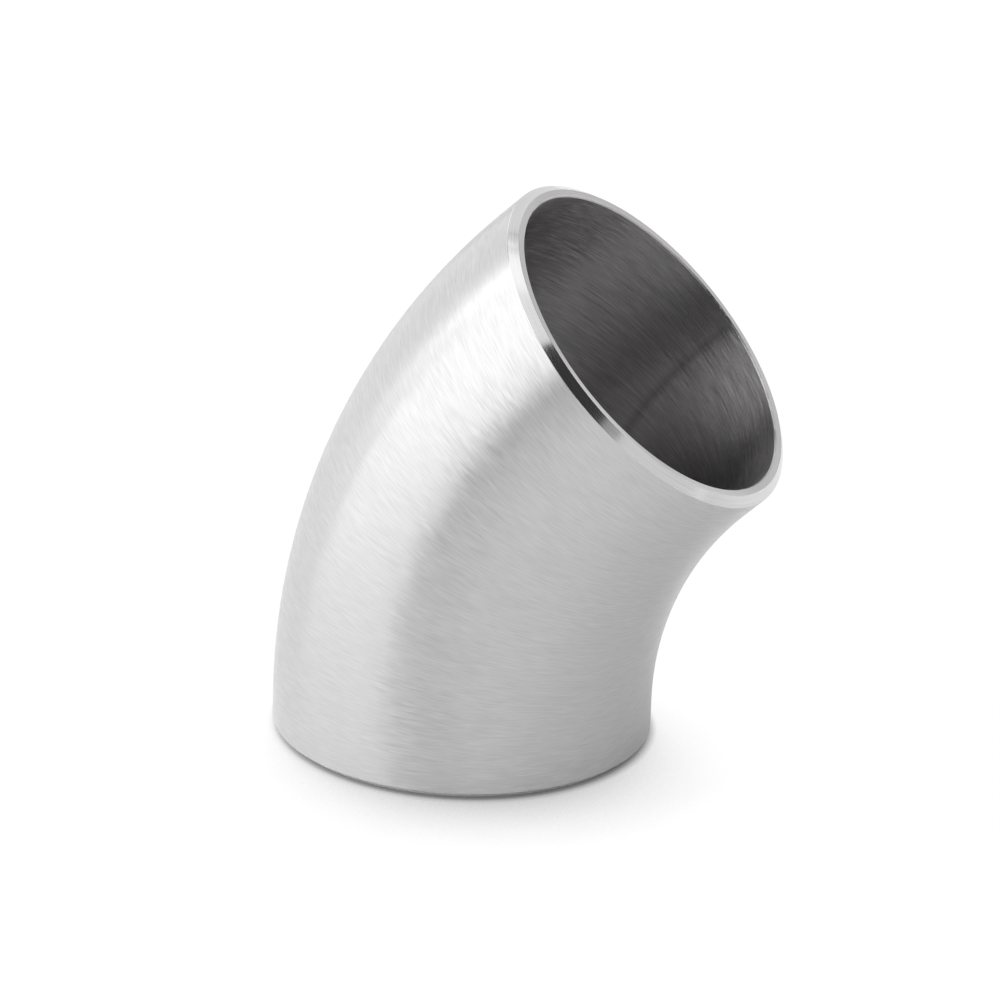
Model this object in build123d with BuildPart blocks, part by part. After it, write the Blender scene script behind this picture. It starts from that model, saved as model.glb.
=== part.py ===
from build123d import *
import os
from math import tan, radians

# A butt-weld pipe elbow: one length of pipe, formed through a single bend, with both ends
# machined for welding. The elbow stands on its lower end. The origin is the centre of the
# lower end face, +Z runs up the axis of the lower end, and the bend leans towards +X.

# Driving dimensions, in millimetres and degrees
outside_diameter = 108.0
wall_thickness = 5.0
bend_radius = 152.0
bend_angle = 45.0
lower_tangent_length = 10.0
upper_tangent_length = 10.0
root_face_width = 2.0
weld_bevel_angle = 37.5
bore_edge_break = 0.4

outside_radius = outside_diameter / 2
bore_radius = outside_radius - wall_thickness

# What the root face and the broken bore edge leave of the wall is bevelled away.
# The bevel angle is measured from the plane of the end.
weld_bevel_width = wall_thickness - root_face_width - bore_edge_break
weld_bevel_height = weld_bevel_width * tan(radians(weld_bevel_angle))

os.makedirs("parts", exist_ok=True)

with BuildPart() as elbow:
    # The centreline: a short straight tangent, the bend, and a second tangent
    with BuildLine(Plane.XZ) as centreline:
        lower_tangent = Line((0, 0), (0, lower_tangent_length))
        bend = JernArc(lower_tangent @ 1, lower_tangent % 1, bend_radius, -bend_angle)
        upper_tangent = Line(bend @ 1, bend @ 1 + (bend % 1) * upper_tangent_length)

    # The pipe's section, a ring square to the start of the centreline
    with BuildSketch(Plane.XY) as pipe_section:
        Circle(outside_radius)
        Circle(bore_radius, mode=Mode.SUBTRACT)

    sweep(path=centreline.line)

    # Both ends are machined alike. They are the only flat faces of the elbow.
    for end_face in elbow.faces().filter_by(GeomType.PLANE):
        chamfer(
            end_face.outer_wire().edges(),
            length=weld_bevel_width,
            length2=weld_bevel_height,
            reference=end_face,
        )

    for end_face in elbow.faces().filter_by(GeomType.PLANE):
        chamfer(end_face.inner_wires().edges(), length=bore_edge_break)

elbow.part.label = "elbow"
export_step(elbow.part, "parts/elbow.step")

end_to_end_height = elbow.part.bounding_box().size.Z
print(f"elbow: {elbow.part.volume / 1000:.1f} cm3, {end_to_end_height:.1f} mm high")
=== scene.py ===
# %% [markdown]
# This is a butt-weld pipe elbow: one length of stainless steel pipe that turns through
# forty-five degrees, with both ends machined for welding. It stands on its lower end.
# The imported CAD model is loaded first, and it fixes the size and the place of everything.

# %% Load the imported elbow
from math import atan2, cos, hypot, pi, radians, sin, tan

import bmesh
import bpy
from mathutils import Matrix, Vector


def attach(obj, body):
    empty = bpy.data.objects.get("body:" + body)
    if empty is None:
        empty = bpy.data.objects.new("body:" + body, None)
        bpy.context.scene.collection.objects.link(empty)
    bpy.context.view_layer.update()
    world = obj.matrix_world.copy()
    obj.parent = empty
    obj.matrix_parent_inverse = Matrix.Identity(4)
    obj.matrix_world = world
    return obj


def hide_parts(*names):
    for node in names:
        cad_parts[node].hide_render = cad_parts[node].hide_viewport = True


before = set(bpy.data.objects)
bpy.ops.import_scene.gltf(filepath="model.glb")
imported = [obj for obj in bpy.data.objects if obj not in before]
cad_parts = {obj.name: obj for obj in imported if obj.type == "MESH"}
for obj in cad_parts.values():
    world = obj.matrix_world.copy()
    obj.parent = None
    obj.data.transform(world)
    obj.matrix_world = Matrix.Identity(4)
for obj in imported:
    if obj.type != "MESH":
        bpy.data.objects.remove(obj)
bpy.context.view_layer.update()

# %% [markdown]
# A fitting like this is drawn with a handful of sizes: the pipe's outside and bore, the
# radius of the bend, the short straight tangents at its ends, and the weld preparation.
# They are the same real sizes as in the CAD source, written in millimetres and turned to
# metres once, because every piece in this scene is in metres.

# %% The elbow's sizes
MM = 0.001
outside_radius = 54.0 * MM
bore_radius = 49.0 * MM
bend_radius = 152.0 * MM
bend_angle = radians(45.0)
tangent_length = 10.0 * MM
root_face_outer_radius = 51.4 * MM
root_face_inner_radius = 49.4 * MM
bore_edge_break = 0.4 * MM
weld_bevel_angle = radians(37.5)
weld_bevel_height = (outside_radius - root_face_outer_radius) * tan(weld_bevel_angle)
bend_length = bend_radius * bend_angle
print(f"weld bevel is {weld_bevel_height / MM:.2f} mm high, bend is {bend_length / MM:.1f} mm long")

# %% [markdown]
# The whole wall is one closed strip. It starts as a ring at the inner edge of the lower
# root face, and is drawn outwards, up the outside, over the top end and back down the
# bore, until it meets its first ring. Each step extrudes the last ring of edges and moves
# the new one. A tube with a Solidify modifier would be quicker, but it can't give the
# weld bevels. The first helper makes one such step, and the second gives a step that
# widens the ring and lifts it.

# %% Helpers that draw the wall on by one ring
def draw_on(shell, ring, move):
    grown = bmesh.ops.extrude_edge_only(shell, edges=ring)["geom"]
    new_points = {part for part in grown if isinstance(part, bmesh.types.BMVert)}
    bmesh.ops.transform(shell, matrix=move, verts=list(new_points))
    return [
        part
        for part in grown
        if isinstance(part, bmesh.types.BMEdge) and set(part.verts) <= new_points
    ]


def widen(start_radius, end_radius, rise=0.0):
    grow = end_radius / start_radius
    return Matrix.Translation((0, 0, rise)) @ Matrix.Diagonal((grow, grow, 1, 1))


print("helpers ready")

# %% [markdown]
# The bend is a spin: the ring turns about a line that lies a bend radius away from the
# centreline, in many small steps, so that its outline is round in a close view. A curve
# with a round bevel could make the bend too, but its ends would still have to be joined
# to the machined rings. Moves at the upper end are the same moves as at the lower one,
# taken into the upper end's own frame and mirrored, so both ends are machined alike.

# %% Draw the wall as one closed strip
RING_SEGMENTS = 256
BEND_STEPS = 90
CLOSING_DISTANCE = 0.01 * MM

bend_centre = Vector((bend_radius, 0, tangent_length))
bend_axis = Vector((0, 1, 0))
to_upper_end = (
    Matrix.Translation(bend_centre)
    @ Matrix.Rotation(bend_angle, 4, bend_axis)
    @ Matrix.Translation(-bend_centre)
    @ Matrix.Translation((0, 0, 2 * tangent_length))
    @ Matrix.Diagonal((1, 1, -1, 1))
)


def at_upper_end(move):
    return to_upper_end @ move @ to_upper_end.inverted()


def bend(shell, ring, angle):
    turned = bmesh.ops.spin(
        shell,
        geom=ring + list({point for edge in ring for point in edge.verts}),
        cent=bend_centre,
        axis=bend_axis,
        angle=angle,
        steps=BEND_STEPS,
        use_merge=False,
    )
    return [part for part in turned["geom_last"] if isinstance(part, bmesh.types.BMEdge)]


shell = bmesh.new()
bmesh.ops.create_circle(
    shell, cap_ends=False, radius=root_face_inner_radius, segments=RING_SEGMENTS
)
ring = list(shell.edges)

across_root_face = widen(root_face_inner_radius, root_face_outer_radius)
up_weld_bevel = widen(root_face_outer_radius, outside_radius, weld_bevel_height)
outside_tangent = tangent_length - weld_bevel_height
ring = draw_on(shell, ring, across_root_face)
ring = draw_on(shell, ring, up_weld_bevel)
ring = draw_on(shell, ring, Matrix.Translation((0, 0, outside_tangent)))
ring = bend(shell, ring, bend_angle)
ring = draw_on(shell, ring, at_upper_end(Matrix.Translation((0, 0, -outside_tangent))))
ring = draw_on(shell, ring, at_upper_end(up_weld_bevel.inverted()))
ring = draw_on(shell, ring, at_upper_end(across_root_face.inverted()))

into_bore = widen(root_face_inner_radius, bore_radius, bore_edge_break)
bore_tangent = tangent_length - bore_edge_break
ring = draw_on(shell, ring, at_upper_end(into_bore))
ring = draw_on(shell, ring, at_upper_end(Matrix.Translation((0, 0, bore_tangent))))
ring = bend(shell, ring, -bend_angle)
ring = draw_on(shell, ring, Matrix.Translation((0, 0, -bore_tangent)))
ring = draw_on(shell, ring, into_bore.inverted())

bmesh.ops.remove_doubles(shell, verts=shell.verts, dist=CLOSING_DISTANCE)
bmesh.ops.recalc_face_normals(shell, faces=shell.faces)
open_edges = sum(edge.is_boundary for edge in shell.edges)
print(f"wall of {len(shell.faces)} faces, open edges: {open_edges}")

# %% [markdown]
# No machined edge is perfectly sharp. A tenth of a millimetre of rounding is enough to
# catch a thin line of light, and that line is what makes a metal edge look real. The
# bevel operator rounds every ring where the wall turns sharply, which picks out just the
# four edges at each end and leaves the smooth bend alone. A Bevel modifier would do the
# same, but the next steps need the rounded points to be there already.

# %% Round the machined edges slightly
EDGE_ROUNDING = 0.12 * MM
SHARP = radians(20)
sharp_edges = [edge for edge in shell.edges if edge.calc_face_angle(0.0) > SHARP]
bmesh.ops.bevel(
    shell,
    geom=sharp_edges,
    offset=EDGE_ROUNDING,
    offset_type="OFFSET",
    affect="EDGES",
    segments=2,
    profile=0.5,
    material=-1,
)
print(f"rounded {len(sharp_edges) // RING_SEGMENTS} rings of edges")

# %% [markdown]
# Brushing and turning marks run round the pipe, and they follow it through the bend. Each
# point therefore gets its place on the pipe as it was before it was bent: two numbers
# across the pipe and one along it. Unwrapping the mesh in the editor would give a similar
# map, but the bend is a plain arc, so it can be straightened exactly.

# %% A helper that straightens the bend
def unbend(point):
    across = bend_radius - point.x
    up = point.z - tangent_length
    if up <= 0 and point.x < bend_radius:
        return Vector((point.x, point.y, point.z))
    angle = min(atan2(up, across), bend_angle)
    along_axis = across * cos(angle) + up * sin(angle)
    beyond = up * cos(angle) - across * sin(angle)
    return Vector((bend_radius - along_axis, point.y, tangent_length + bend_radius * angle + beyond))


end_centre = unbend(to_upper_end @ Vector((0, 0, 0)))
print(f"unbent length is {end_centre.z / MM:.2f} mm")

# %% [markdown]
# Every point keeps its straightened place as an attribute, for the patterns to read. A UV
# map is laid on as well, because the direction of a brushed highlight is read from one.
# Its U runs round the pipe. Its V runs along it and also falls as the radius grows, so
# that the flat end faces aren't squashed to a line. Three finishes meet on this piece:
# the brushed outside, the turned weld preparation and the dull bore, which takes its
# broken edge with it. They could be picked by hand in the editor, but a face's distance
# from the pipe's centreline tells its finish, so the faces are sorted by that.

# %% Lay coordinates on the wall and sort its faces
OUTSIDE, TURNED, BORE = 0, 1, 2
HAIR = 0.02 * MM
FULL_TURN = 2 * pi

unbent_place = shell.verts.layers.float_vector.new("unbent")
for point in shell.verts:
    point[unbent_place] = unbend(point.co)

round_and_along = shell.loops.layers.uv.new("round_and_along")
for face in shell.faces:
    middle = unbend(face.calc_center_median())
    middle_angle = atan2(middle.y, middle.x)
    middle_radius = hypot(middle.x, middle.y)
    face.smooth = True
    face.material_index = TURNED
    if middle_radius > outside_radius - HAIR:
        face.material_index = OUTSIDE
    if middle_radius < root_face_inner_radius - HAIR:
        face.material_index = BORE
    for corner in face.loops:
        place = unbend(corner.vert.co)
        step = atan2(place.y, place.x) - middle_angle
        step -= FULL_TURN * round(step / FULL_TURN)
        radius = hypot(place.x, place.y)
        corner[round_and_along].uv = (
            (middle_angle + step) / FULL_TURN,
            (place.z - radius) / end_centre.z,
        )

finish_counts = [
    sum(face.material_index == finish for face in shell.faces)
    for finish in (OUTSIDE, TURNED, BORE)
]
print("faces outside, turned and bore:", finish_counts)

# %% [markdown]
# The bmesh becomes an ordinary mesh object. It stands for the CAD elbow, which is hidden, and rides
# on the one body there is. Weighted normals keep the narrow flat faces flat, while their rounded
# edges shade smoothly. An Edge Split modifier would keep them flat too, but it would open the closed
# wall.

# %% Make the elbow's object
elbow_mesh = bpy.data.meshes.new("elbow_wall")
shell.to_mesh(elbow_mesh)
shell.free()
elbow_piece = bpy.data.objects.new("elbow_wall", elbow_mesh)
bpy.context.scene.collection.objects.link(elbow_piece)
flat_faces = elbow_piece.modifiers.new("keep_flats_flat", "WEIGHTED_NORMAL")
flat_faces.weight = 100
flat_faces.keep_sharp = False
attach(elbow_piece, "root")
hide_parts("elbow")
print("elbow piece made, triangles about", 2 * len(elbow_mesh.polygons))

# %% [markdown]
# Colours are written as the hex values that a picture editor shows, and one function
# turns them to the linear numbers that Blender's nodes work in. Another small function
# adds a node, sets its values and makes its links, so that each material below reads
# like a parts list.

# %% Helpers for colours and nodes
def linear(hex_colour):
    parts = [int(hex_colour[i : i + 2], 16) / 255 for i in (1, 3, 5)]
    return [*(c / 12.92 if c <= 0.04045 else ((c + 0.055) / 1.055) ** 2.4 for c in parts), 1.0]


def add_node(tree, kind, settings=None, inputs=None):
    node = tree.nodes.new(kind)
    for name, value in (settings or {}).items():
        setattr(node, name, value)
    for name, value in (inputs or {}).items():
        if isinstance(value, bpy.types.NodeSocket):
            tree.links.new(value, node.inputs[name])
        else:
            node.inputs[name].default_value = value
    return node


def new_material(name):
    material = bpy.data.materials.new(name)
    material.use_nodes = True
    material.node_tree.nodes.clear()
    return material, material.node_tree


print("a steel grey in linear numbers:", [round(c, 3) for c in linear("#cecdce")])

# %% [markdown]
# Brushing leaves thousands of short shallow strokes that all run round the pipe. Noise
# stretched along the stroke draws them: it changes slowly across the pipe's two cross
# coordinates and quickly along its length. The unbent coordinates are tilted by a few
# degrees for some layers, because a belt never runs perfectly true. An image of brushed
# steel would be another way, but it would show a seam. Here none shows, because nothing
# in the pattern counts degrees round the pipe. Real strokes are a few hundredths of a
# millimetre wide, which no picture of this size can show, so they are drawn about a
# quarter of a millimetre wide, as coarse as one pixel needs. Most of the noise lies a
# little above or below a half, and the two limits given here hold nearly all of it.

# %% A helper that draws strokes round the pipe
NOISE_LOW = 0.35
NOISE_HIGH = 0.65


def strokes(tree, length_mm, width_mm, tilt=(0, 0, 0), shift=(0, 0, 0)):
    place = add_node(tree, "ShaderNodeAttribute", {"attribute_name": "unbent"})
    tilted = add_node(
        tree,
        "ShaderNodeMapping",
        {"vector_type": "POINT"},
        {
            "Vector": place.outputs["Vector"],
            "Location": shift,
            "Rotation": [radians(angle) for angle in tilt],
        },
    )
    stretched = add_node(
        tree,
        "ShaderNodeVectorMath",
        {"operation": "MULTIPLY"},
        {
            0: tilted.outputs["Vector"],
            1: (1 / (length_mm * MM), 1 / (length_mm * MM), 1 / (width_mm * MM)),
        },
    )
    noise = add_node(
        tree,
        "ShaderNodeTexNoise",
        {"noise_dimensions": "3D"},
        {"Vector": stretched.outputs["Vector"], "Scale": 1.0, "Detail": 1.0, "Roughness": 0.6},
    )
    return noise.outputs["Fac"]


print("stroke patterns mostly run from", NOISE_LOW, "to", NOISE_HIGH)

# %% [markdown]
# A brushed highlight smears out across the strokes. Where a stroke runs a little askew,
# its smear leans too and catches a slightly different part of the room, and this is what
# makes brushed steel glitter. The helper starts from the direction round the pipe, which
# comes from the UV map, and adds a little of the direction along the pipe, as much as a
# stroke pattern says.

# %% A helper that sways the direction of the strokes
def swayed_direction(tree, pattern, sway):
    round_pipe = add_node(
        tree, "ShaderNodeTangent", {"direction_type": "UV_MAP", "uv_map": "round_and_along"}
    )
    surface = add_node(tree, "ShaderNodeNewGeometry")
    along_pipe = add_node(
        tree,
        "ShaderNodeVectorMath",
        {"operation": "CROSS_PRODUCT"},
        {0: surface.outputs["Normal"], 1: round_pipe.outputs["Tangent"]},
    )
    share = add_node(
        tree,
        "ShaderNodeMapRange",
        {},
        {
            "Value": pattern,
            "From Min": NOISE_LOW,
            "From Max": NOISE_HIGH,
            "To Min": -sway,
            "To Max": sway,
        },
    )
    lean = add_node(
        tree,
        "ShaderNodeVectorMath",
        {"operation": "SCALE"},
        {0: along_pipe.outputs["Vector"], "Scale": share.outputs["Result"]},
    )
    leaning = add_node(
        tree,
        "ShaderNodeVectorMath",
        {"operation": "ADD"},
        {0: round_pipe.outputs["Tangent"], 1: lean.outputs["Vector"]},
    )
    return leaning.outputs["Vector"]


print("direction helper ready")

# %% [markdown]
# The outside is 304 stainless steel, brushed round the pipe with a fine abrasive belt.
# To the eye it is a bright satin grey: reflections stay narrow round the pipe and smear
# out along it, so a soft lamp becomes a long pale band. That smear is anisotropy. Three
# layers of strokes, one true and two askew, vary the colour a little, and the brighter
# strokes are also the smoother ones, so that the strokes show most where the steel
# reflects something dark. Mixed layers even each other out, so their values lie closer
# to a half than one layer's do. The roughness also follows a much larger and fainter
# pattern, such as the uneven pressure of a belt leaves.

# %% The brushed outside
MIXED_LOW = 0.42
MIXED_HIGH = 0.58
BELT_GROOVE_DEPTH = 0.03 * MM

brushed, tree = new_material("belt_brushed_stainless")
true_strokes = strokes(tree, length_mm=6.5, width_mm=0.24)
slanted = strokes(tree, length_mm=6.0, width_mm=0.26, tilt=(5, 0, 0), shift=(0.3, 0.1, 0.2))
crossed = strokes(tree, length_mm=6.0, width_mm=0.26, tilt=(0, -6, 0), shift=(0.7, 0.4, 0.5))
uneven_pressure = strokes(tree, length_mm=24.0, width_mm=9.0, shift=(0.2, 0.9, 0.1))
askew = add_node(
    tree, "ShaderNodeMix", {"data_type": "FLOAT"}, {"Factor": 0.5, "A": slanted, "B": crossed}
)
grain = add_node(
    tree,
    "ShaderNodeMix",
    {"data_type": "FLOAT"},
    {"Factor": 0.5, "A": true_strokes, "B": askew.outputs["Result"]},
)
worn_grain = add_node(
    tree,
    "ShaderNodeMix",
    {"data_type": "FLOAT"},
    {"Factor": 0.1, "A": grain.outputs["Result"], "B": uneven_pressure},
)
steel_colour = add_node(
    tree,
    "ShaderNodeMix",
    {"data_type": "RGBA"},
    {"Factor": grain.outputs["Result"], "A": linear("#b3b2b3"), "B": linear("#e5e4e5")},
)
steel_roughness = add_node(
    tree,
    "ShaderNodeMapRange",
    {},
    {
        "Value": worn_grain.outputs["Result"],
        "From Min": MIXED_LOW,
        "From Max": MIXED_HIGH,
        "To Min": 0.37,
        "To Max": 0.295,
    },
)
grooves = add_node(
    tree,
    "ShaderNodeBump",
    {},
    {"Strength": 0.5, "Distance": BELT_GROOVE_DEPTH, "Height": grain.outputs["Result"]},
)
shader = add_node(
    tree,
    "ShaderNodeBsdfPrincipled",
    {},
    {
        "Base Color": steel_colour.outputs["Result"],
        "Metallic": 1.0,
        "Roughness": steel_roughness.outputs["Result"],
        "Anisotropic": 0.85,
        "Anisotropic Rotation": 0.25,
        "Normal": grooves.outputs["Normal"],
        "Tangent": swayed_direction(tree, slanted, sway=0.13),
    },
)
add_node(tree, "ShaderNodeOutputMaterial", {}, {"Surface": shader.outputs["BSDF"]})
elbow_mesh.materials.append(brushed)
print("brushed outside has", len(tree.nodes), "nodes")

# %% [markdown]
# The weld bevel and the root face are cut on a lathe after brushing. A fresh turned face
# is the brightest and sharpest mirror on the piece, so it is much smoother than the
# outside and shows the dim side of the studio as a near-black streak. Its tool rings are
# too fine to see one by one, and are drawn coarser than they are, about a seventh of a
# millimetre wide.

# %% The turned ends
turned, tree = new_material("turned_stainless_edge")
tool_marks = strokes(tree, length_mm=30.0, width_mm=0.14)
edge_colour = add_node(
    tree,
    "ShaderNodeMix",
    {"data_type": "RGBA"},
    {"Factor": tool_marks, "A": linear("#d8d8d8"), "B": linear("#eeeeee")},
)
edge_roughness = add_node(
    tree,
    "ShaderNodeMapRange",
    {},
    {"Value": tool_marks, "From Min": 0.3, "From Max": 0.7, "To Min": 0.12, "To Max": 0.18},
)
round_pipe = add_node(
    tree, "ShaderNodeTangent", {"direction_type": "UV_MAP", "uv_map": "round_and_along"}
)
shader = add_node(
    tree,
    "ShaderNodeBsdfPrincipled",
    {},
    {
        "Base Color": edge_colour.outputs["Result"],
        "Metallic": 1.0,
        "Roughness": edge_roughness.outputs["Result"],
        "Anisotropic": 0.5,
        "Anisotropic Rotation": 0.25,
        "Tangent": round_pipe.outputs["Tangent"],
    },
)
add_node(tree, "ShaderNodeOutputMaterial", {}, {"Surface": shader.outputs["BSDF"]})
elbow_mesh.materials.append(turned)
print("turned ends have", len(tree.nodes), "nodes")

# %% [markdown]
# The bore is ground coarsely and then left. It looks much darker and duller than the
# outside, mostly because it reflects its own dark inside, and its streaks are coarser.
# One faint dark line runs down its far side. It is painted shade: a groove in the mesh could draw
# it, but nothing shows that it has any depth, so it is drawn by the angle round the pipe, as a
# narrow strip that darkens the steel's colour.

# %% The ground bore
PAINTED_SHADE_ANGLE = radians(73.5)
PAINTED_SHADE_HALF_WIDTH = radians(2.6)
GRINDING_GROOVE_DEPTH = 0.05 * MM

bore, tree = new_material("ground_stainless_bore")
streaks = strokes(tree, length_mm=9.0, width_mm=0.30, shift=(0.5, 0.2, 0.8))
scratches = strokes(tree, length_mm=6.0, width_mm=0.27, tilt=(6, 4, 0), shift=(0.1, 0.6, 0.3))
grain = add_node(
    tree, "ShaderNodeMix", {"data_type": "FLOAT"}, {"Factor": 0.4, "A": streaks, "B": scratches}
)
bore_colour = add_node(
    tree,
    "ShaderNodeMix",
    {"data_type": "RGBA"},
    {"Factor": grain.outputs["Result"], "A": linear("#8a8889"), "B": linear("#ebe9ea")},
)
bore_roughness = add_node(
    tree,
    "ShaderNodeMapRange",
    {},
    {
        "Value": grain.outputs["Result"],
        "From Min": NOISE_LOW,
        "From Max": NOISE_HIGH,
        "To Min": 0.29,
        "To Max": 0.36,
    },
)
grooves = add_node(
    tree,
    "ShaderNodeBump",
    {},
    {"Strength": 0.5, "Distance": GRINDING_GROOVE_DEPTH, "Height": grain.outputs["Result"]},
)
# Painted shade: the steel's colour is darkened in a narrow strip at one angle round the bore.
place = add_node(tree, "ShaderNodeAttribute", {"attribute_name": "unbent"})
across = add_node(tree, "ShaderNodeSeparateXYZ", {}, {"Vector": place.outputs["Vector"]})
angle = add_node(
    tree,
    "ShaderNodeMath",
    {"operation": "ARCTAN2"},
    {0: across.outputs["Y"], 1: across.outputs["X"]},
)
past_painted_shade = add_node(
    tree, "ShaderNodeMath", {"operation": "SUBTRACT"}, {0: angle.outputs[0], 1: PAINTED_SHADE_ANGLE}
)
from_painted_shade = add_node(tree, "ShaderNodeMath", {"operation": "ABSOLUTE"}, {0: past_painted_shade.outputs[0]})
on_painted_shade = add_node(
    tree,
    "ShaderNodeMapRange",
    {},
    {
        "Value": from_painted_shade.outputs[0],
        "From Min": 0.0,
        "From Max": PAINTED_SHADE_HALF_WIDTH,
        "To Min": 1.0,
        "To Max": 0.0,
    },
)
painted_shade_colour = add_node(
    tree,
    "ShaderNodeMix",
    {"data_type": "RGBA", "blend_type": "MULTIPLY"},
    {
        "Factor": on_painted_shade.outputs["Result"],
        "A": bore_colour.outputs["Result"],
        "B": linear("#e2e2e2"),
    },
)
shader = add_node(
    tree,
    "ShaderNodeBsdfPrincipled",
    {},
    {
        "Base Color": painted_shade_colour.outputs["Result"],
        "Metallic": 1.0,
        "Roughness": bore_roughness.outputs["Result"],
        "Anisotropic": 0.91,
        "Anisotropic Rotation": 0.25,
        "Normal": grooves.outputs["Normal"],
        "Tangent": swayed_direction(tree, scratches, sway=0.12),
    },
)
add_node(tree, "ShaderNodeOutputMaterial", {}, {"Surface": shader.outputs["BSDF"]})
elbow_mesh.materials.append(bore)
print("bore has", len(tree.nodes), "nodes")

# %% [markdown]
# The elbow stands on a plain white floor. The lamps alone would leave it a pale grey, so
# the camera sees a dark floor with white added to it, and the metal sees pale paper with
# a little of that white. How much is added depends on how open the floor is. A narrow
# measure of openness draws the dark line where the steel touches the floor, and it leans
# to the left, where that line fades out. A wide one that leans to the back draws the soft
# shadow, which falls to the front. Everywhere else the floor runs out into the white
# background with no line. A plain floor with brighter lamps would be simpler, but it
# would wash out the steel.

# %% The floor
FLOOR_SIZE = 12.0
OPEN_ENOUGH = 0.73
WHITE_SEEN_BY_METAL = 0.14
CONTACT_LINE_REACH = 3 * MM
SOFT_SHADOW_REACH = 60 * MM

floor_shape = bmesh.new()
bmesh.ops.create_grid(floor_shape, x_segments=1, y_segments=1, size=FLOOR_SIZE / 2)
floor_mesh = bpy.data.meshes.new("studio_floor")
floor_shape.to_mesh(floor_mesh)
floor_shape.free()
floor = bpy.data.objects.new("studio_floor", floor_mesh)
bpy.context.scene.collection.objects.link(floor)

white_floor, tree = new_material("white_studio_floor")
towards_left = add_node(tree, "ShaderNodeCombineXYZ", {}, {"X": -0.5, "Y": -0.3, "Z": 0.81})
towards_back = add_node(tree, "ShaderNodeCombineXYZ", {}, {"X": -0.33, "Y": 0.62, "Z": 0.71})
crevice = add_node(
    tree,
    "ShaderNodeAmbientOcclusion",
    {"samples": 8},
    {"Distance": CONTACT_LINE_REACH, "Normal": towards_left.outputs["Vector"]},
)
open_to_back = add_node(
    tree,
    "ShaderNodeAmbientOcclusion",
    {"samples": 8},
    {"Distance": SOFT_SHADOW_REACH, "Normal": towards_back.outputs["Vector"]},
)
contact_line = add_node(
    tree, "ShaderNodeMath", {"operation": "POWER"}, {0: crevice.outputs["AO"], 1: 0.6}
)
soft_shadow = add_node(
    tree, "ShaderNodeMath", {"operation": "POWER"}, {0: open_to_back.outputs["AO"], 1: 0.77}
)
both_open = add_node(
    tree,
    "ShaderNodeMath",
    {"operation": "MULTIPLY"},
    {0: contact_line.outputs[0], 1: soft_shadow.outputs[0]},
)
openness = add_node(
    tree,
    "ShaderNodeMath",
    {"operation": "DIVIDE", "use_clamp": True},
    {0: both_open.outputs[0], 1: OPEN_ENOUGH},
)
ray = add_node(tree, "ShaderNodeLightPath")
seen = add_node(
    tree,
    "ShaderNodeMath",
    {"operation": "MULTIPLY_ADD"},
    {
        0: ray.outputs["Is Glossy Ray"],
        1: WHITE_SEEN_BY_METAL,
        2: ray.outputs["Is Camera Ray"],
    },
)
added_white = add_node(
    tree,
    "ShaderNodeMath",
    {"operation": "MULTIPLY"},
    {0: openness.outputs[0], 1: seen.outputs[0]},
)
floor_colour = add_node(
    tree,
    "ShaderNodeMix",
    {"data_type": "RGBA"},
    {"Factor": ray.outputs["Is Camera Ray"], "A": linear("#f4f4f4"), "B": linear("#303030")},
)
paper = add_node(
    tree,
    "ShaderNodeBsdfPrincipled",
    {},
    {
        "Base Color": floor_colour.outputs["Result"],
        "Roughness": 0.9,
        "Specular IOR Level": 0.0,
        "Emission Color": linear("#ffffff"),
        "Emission Strength": added_white.outputs[0],
    },
)
add_node(tree, "ShaderNodeOutputMaterial", {}, {"Surface": paper.outputs["BSDF"]})
floor_mesh.materials.append(white_floor)
print("floor is", FLOOR_SIZE, "m wide")

# %% [markdown]
# Metal shows its surroundings, so the lamps are part of the finish. The wide softbox on
# the left makes the broad highlight, and pale cards at the back fill the outline beside
# it and the root face. Low cards on the right and in front light the inner side of the
# bend, and the high ones light the turned bevel and the bore. Between the high and the
# low ones on the right the room stays dark, and the bevel shows that as its dark streak.
# Cards side by side meet but hardly overlap, because two of them seen in one direction
# add up to a white blotch. A picture of a studio round the scene would be another way,
# but lamps can be moved one at a time until each band on the steel is right. Each lamp's
# power is worked out from how bright its face should look, where 1 is the white of the
# background.

# %% Lamps
lit_middle = Vector((0.02, 0, 0.08))
lamp_brightness = {}


def softbox(name, azimuth, elevation, distance, width, height, brightness):
    lamp = bpy.data.lights.new(name, "AREA")
    lamp.shape = "RECTANGLE"
    lamp.size = width
    lamp.size_y = height
    lamp.energy = brightness * pi * width * height
    holder = bpy.data.objects.new(name, lamp)
    bpy.context.scene.collection.objects.link(holder)
    a, e = radians(azimuth), radians(elevation)
    outwards = Vector((cos(a) * cos(e), sin(a) * cos(e), sin(e)))
    holder.location = lit_middle + outwards * distance
    holder.rotation_euler = outwards.to_track_quat("Z", "Y").to_euler()
    holder.visible_camera = False
    lamp_brightness[name] = brightness


# Each line gives a name, the azimuth and elevation in degrees, the distance, the width
# and the height in metres, and the brightness of the face.
softbox("left_softbox", -149, 26, 1.5, 2.15, 1.7, 1.66)
softbox("high_left_softbox", -150, 66, 1.5, 1.2, 0.5, 1.95)
softbox("overhead_softbox", 60, 88, 1.5, 1.3, 1.3, 0.88)
softbox("high_side_card", 97, 57, 1.6, 0.9, 0.2, 0.7)
softbox("high_back_card", 80, 72, 1.6, 0.8, 0.4, 0.3)
softbox("back_left_card", 149, 25, 1.7, 1.7, 1.8, 1.05)
softbox("back_side_card", 107, 25, 1.7, 1.0, 1.8, 0.78)
softbox("back_card", 72, 20, 1.7, 1.1, 1.5, 0.56)
softbox("right_card", 20, 12.5, 1.7, 2.85, 1.15, 0.69)
softbox("right_top_card", 20, 35.5, 1.7, 2.4, 0.25, 0.34)
softbox("front_right_card", -47, 15, 1.7, 1.5, 0.9, 0.75)
softbox("high_front_card", -95, 55, 2.0, 1.6, 0.9, 0.55)
brightest = max(lamp_brightness, key=lamp_brightness.get)
print(len(lamp_brightness), "lamps made, the brightest face is that of the", brightest)

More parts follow.
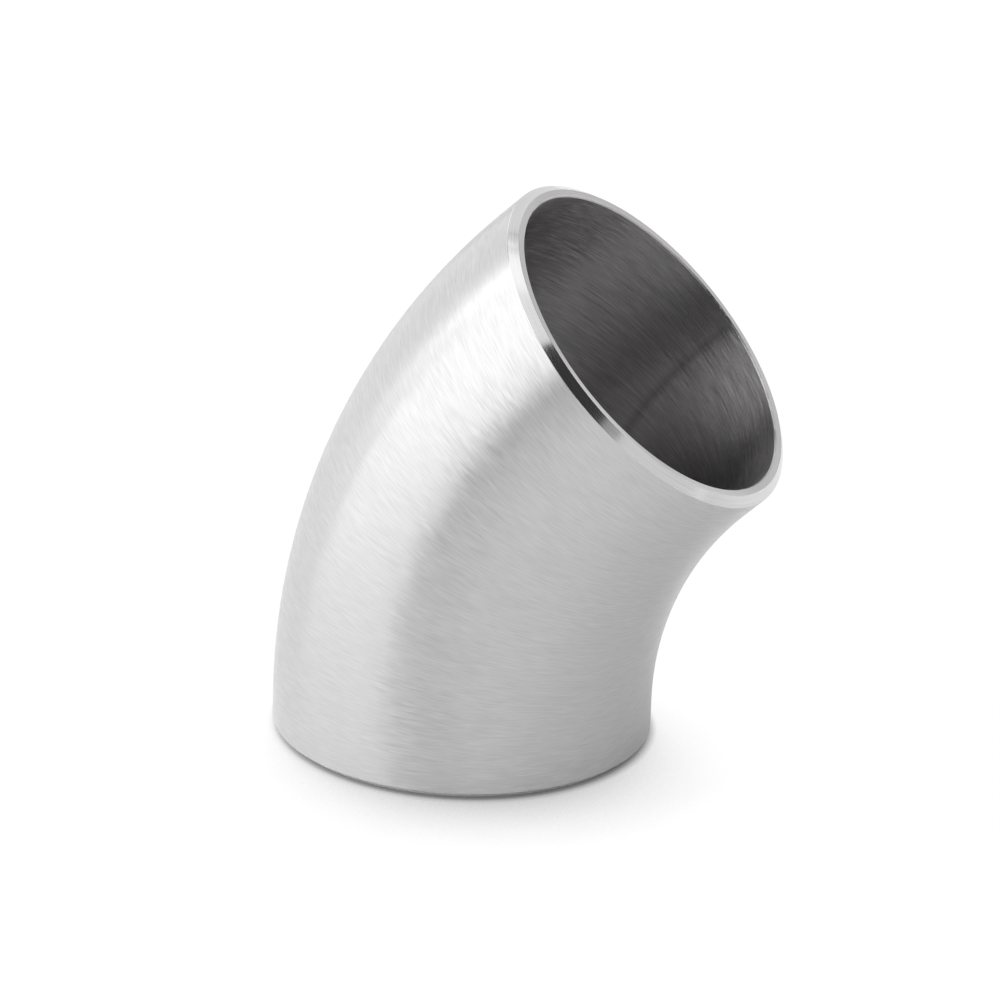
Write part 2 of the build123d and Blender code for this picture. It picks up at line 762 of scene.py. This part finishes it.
# %% [markdown]
# The rest of the room is a plain dim grey to the metal and to the floor, and white where
# the camera looks past the floor.

# %% The room
DIM_ROOM = 0.04

world = bpy.data.worlds.new("studio_room")
bpy.context.scene.world = world
world.use_nodes = True
tree = world.node_tree
tree.nodes.clear()
ray = add_node(tree, "ShaderNodeLightPath")
brightness = add_node(
    tree,
    "ShaderNodeMath",
    {"operation": "MAXIMUM"},
    {0: ray.outputs["Is Camera Ray"], 1: DIM_ROOM},
)
room = add_node(
    tree,
    "ShaderNodeBackground",
    {},
    {"Color": linear("#ffffff"), "Strength": brightness.outputs[0]},
)
add_node(tree, "ShaderNodeOutputWorld", {}, {"Surface": room.outputs["Background"]})
print("the room is a dim", DIM_ROOM, "of white")

# %% [markdown]
# The photograph was taken with a long lens from a little above, so the camera stands well
# back. It could be placed by eye in the viewport. These numbers were fitted to the
# elbow's outline in the photograph instead: the angle round the elbow, the height, a
# small roll, the distance, the lens and the point that the camera looks at.

# %% The camera
camera_azimuth = radians(17.430)
camera_elevation = radians(22.309)
camera_roll = radians(-2.119)
camera_distance = 2.2489
looked_at = Vector((0.01151, -0.00751, 0.07338))

forward = Vector(
    (
        -sin(camera_azimuth) * cos(camera_elevation),
        cos(camera_azimuth) * cos(camera_elevation),
        -sin(camera_elevation),
    )
)
level_right = Vector((cos(camera_azimuth), sin(camera_azimuth), 0))
level_down = forward.cross(level_right)
right = cos(camera_roll) * level_right + sin(camera_roll) * level_down
up = sin(camera_roll) * level_right - cos(camera_roll) * level_down

lens = bpy.data.cameras.new("long_lens")
lens.sensor_width = 36.0
lens.sensor_fit = "HORIZONTAL"
lens.lens = 288.04
camera = bpy.data.objects.new("camera", lens)
bpy.context.scene.collection.objects.link(camera)
axes = Matrix((right, up, -forward)).transposed()
camera.matrix_world = Matrix.Translation(looked_at - forward * camera_distance) @ axes.to_4x4()
bpy.context.scene.camera = camera
bpy.context.scene.view_settings.view_transform = "Standard"
print("camera at", [round(c, 4) for c in camera.matrix_world.translation])
